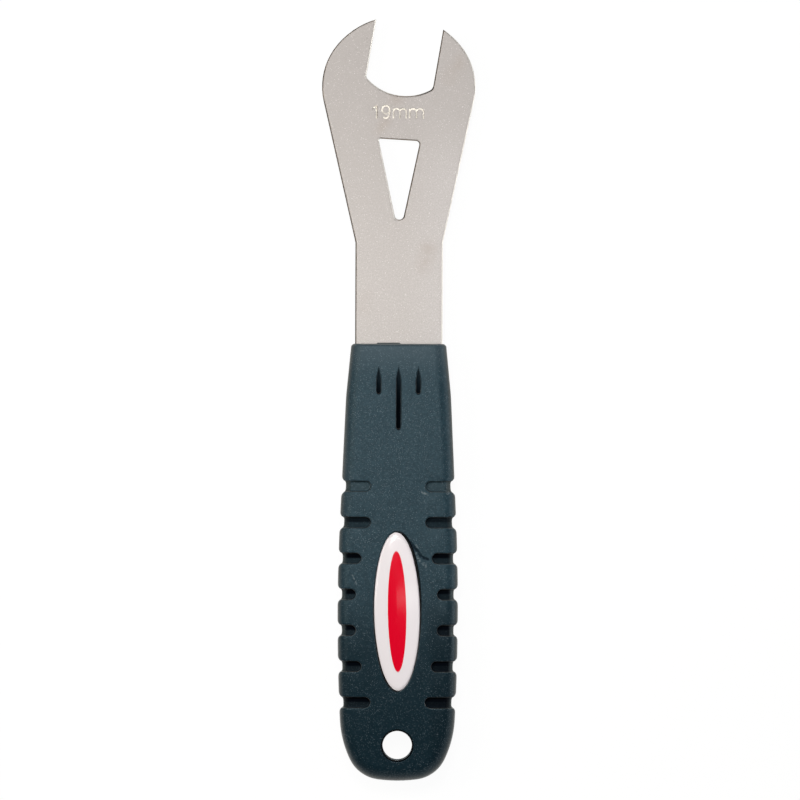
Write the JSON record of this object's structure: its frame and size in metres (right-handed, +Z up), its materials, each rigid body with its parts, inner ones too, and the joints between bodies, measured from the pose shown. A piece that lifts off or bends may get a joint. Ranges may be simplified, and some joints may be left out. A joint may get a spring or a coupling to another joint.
{
  "type": "cone wrench",
  "caption": "Thin steel open-end wrench for wheel cones: a tilted jaw over a lightening window, in a moulded rubber grip with side slots, an oval badge and a hang hole.",
  "frame": {"origin": "under the middle of the tool seen from above, on the surface its grip rests on", "axes": "+Y along the handle towards the jaw, +X to the right with the badge facing up, +Z up out of the badge side"},
  "size_m": [0.0432, 0.2144, 0.0126],
  "materials": {
    "plated_steel": "satin nickel plate over a bead-blasted surface",
    "grip_rubber": "matt, dark slate",
    "badge_plastic": "gloss, domed"
  },
  "bodies": {
    "root": {"blade": "plated_steel", "grip": "grip_rubber", "badge": "badge_plastic"}
  },
  "joints": []
}
